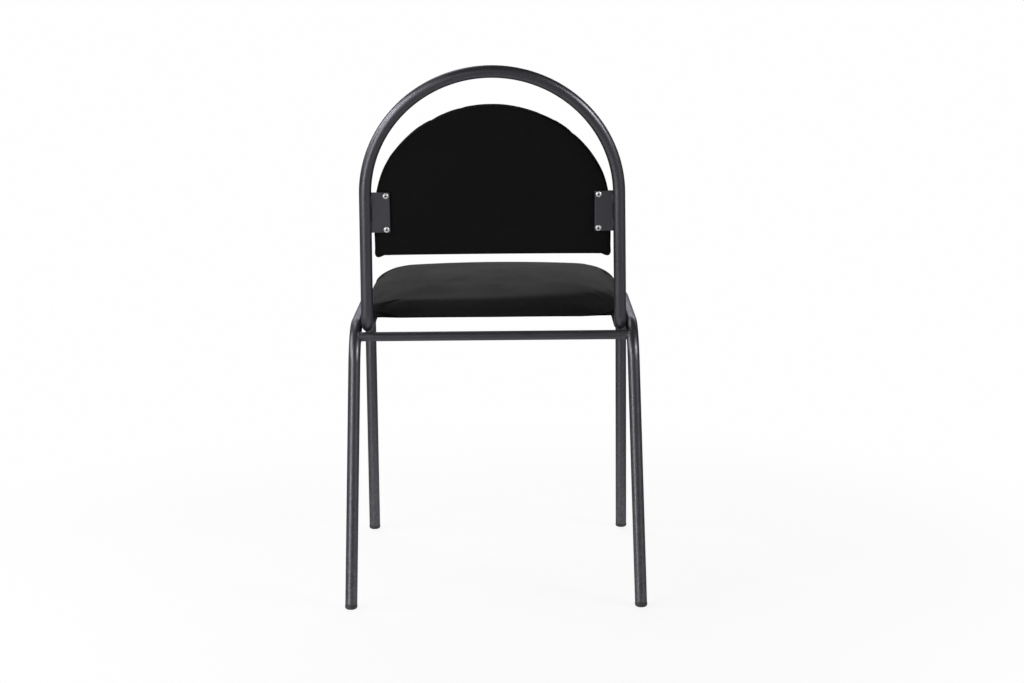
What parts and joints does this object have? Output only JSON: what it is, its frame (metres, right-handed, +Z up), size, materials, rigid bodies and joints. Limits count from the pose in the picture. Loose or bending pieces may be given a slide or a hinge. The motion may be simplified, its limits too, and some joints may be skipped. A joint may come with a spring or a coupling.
{
  "type": "visitor chair",
  "caption": "Four-leg stacking chair with bent round-tube leg frames, a horseshoe tube arch around an upholstered D-shaped back, and a padded seat.",
  "frame": {"origin": "on the floor, under the middle of the chair's bounding box", "axes": "+Z up, -Y the way the sitter faces, +X to the sitter's left"},
  "size_m": [0.4504, 0.5004, 0.7999],
  "materials": {
    "frame_paint": "satin dark grey powder coat",
    "back_fabric": "matte black cloth",
    "seat_leatherette": "semi-matte black leatherette",
    "lining": "thin black non-woven lining",
    "black_plastic": "black moulded plastic",
    "plywood": "plain plywood",
    "foam": "polyurethane foam",
    "zinc_plate": "bright zinc plate"
  },
  "bodies": {
    "root": {"back_arch": "frame_paint", "back_board": "plywood", "back_bracket_left": "frame_paint", "back_bracket_right": "frame_paint", "back_cover_front": "back_fabric", "back_cover_rear": "back_fabric", "back_foam": "foam", "back_screw_left_lower": "zinc_plate", "back_screw_left_upper": "zinc_plate", "back_screw_right_lower": "zinc_plate", "back_screw_right_upper": "zinc_plate", "back_tee_nut_left_lower": "zinc_plate", "back_tee_nut_left_upper": "zinc_plate", "back_tee_nut_right_lower": "zinc_plate", "back_tee_nut_right_upper": "zinc_plate", "foot_plug_front_left": "black_plastic", "foot_plug_front_right": "black_plastic", "foot_plug_rear_left": "black_plastic", "foot_plug_rear_right": "black_plastic", "front_crossbar": "frame_paint", "leg_frame_left": "frame_paint", "leg_frame_right": "frame_paint", "rail_plug_left": "black_plastic", "rail_plug_right": "black_plastic", "rear_crossbar": "frame_paint", "seat_board": "plywood", "seat_bracket_front_left": "frame_paint", "seat_bracket_front_right": "frame_paint", "seat_bracket_rear_left": "frame_paint", "seat_bracket_rear_right": "frame_paint", "seat_cover": "seat_leatherette", "seat_dust_cover": "lining", "seat_foam": "foam", "seat_screw_front_left": "zinc_plate", "seat_screw_front_right": "zinc_plate", "seat_screw_rear_left": "zinc_plate", "seat_screw_rear_right": "zinc_plate", "seat_tee_nut_front_left": "zinc_plate", "seat_tee_nut_front_right": "zinc_plate", "seat_tee_nut_rear_left": "zinc_plate", "seat_tee_nut_rear_right": "zinc_plate", "seat_washer_front_left": "zinc_plate", "seat_washer_front_right": "zinc_plate", "seat_washer_rear_left": "zinc_plate", "seat_washer_rear_right": "zinc_plate"}
  },
  "joints": []
}
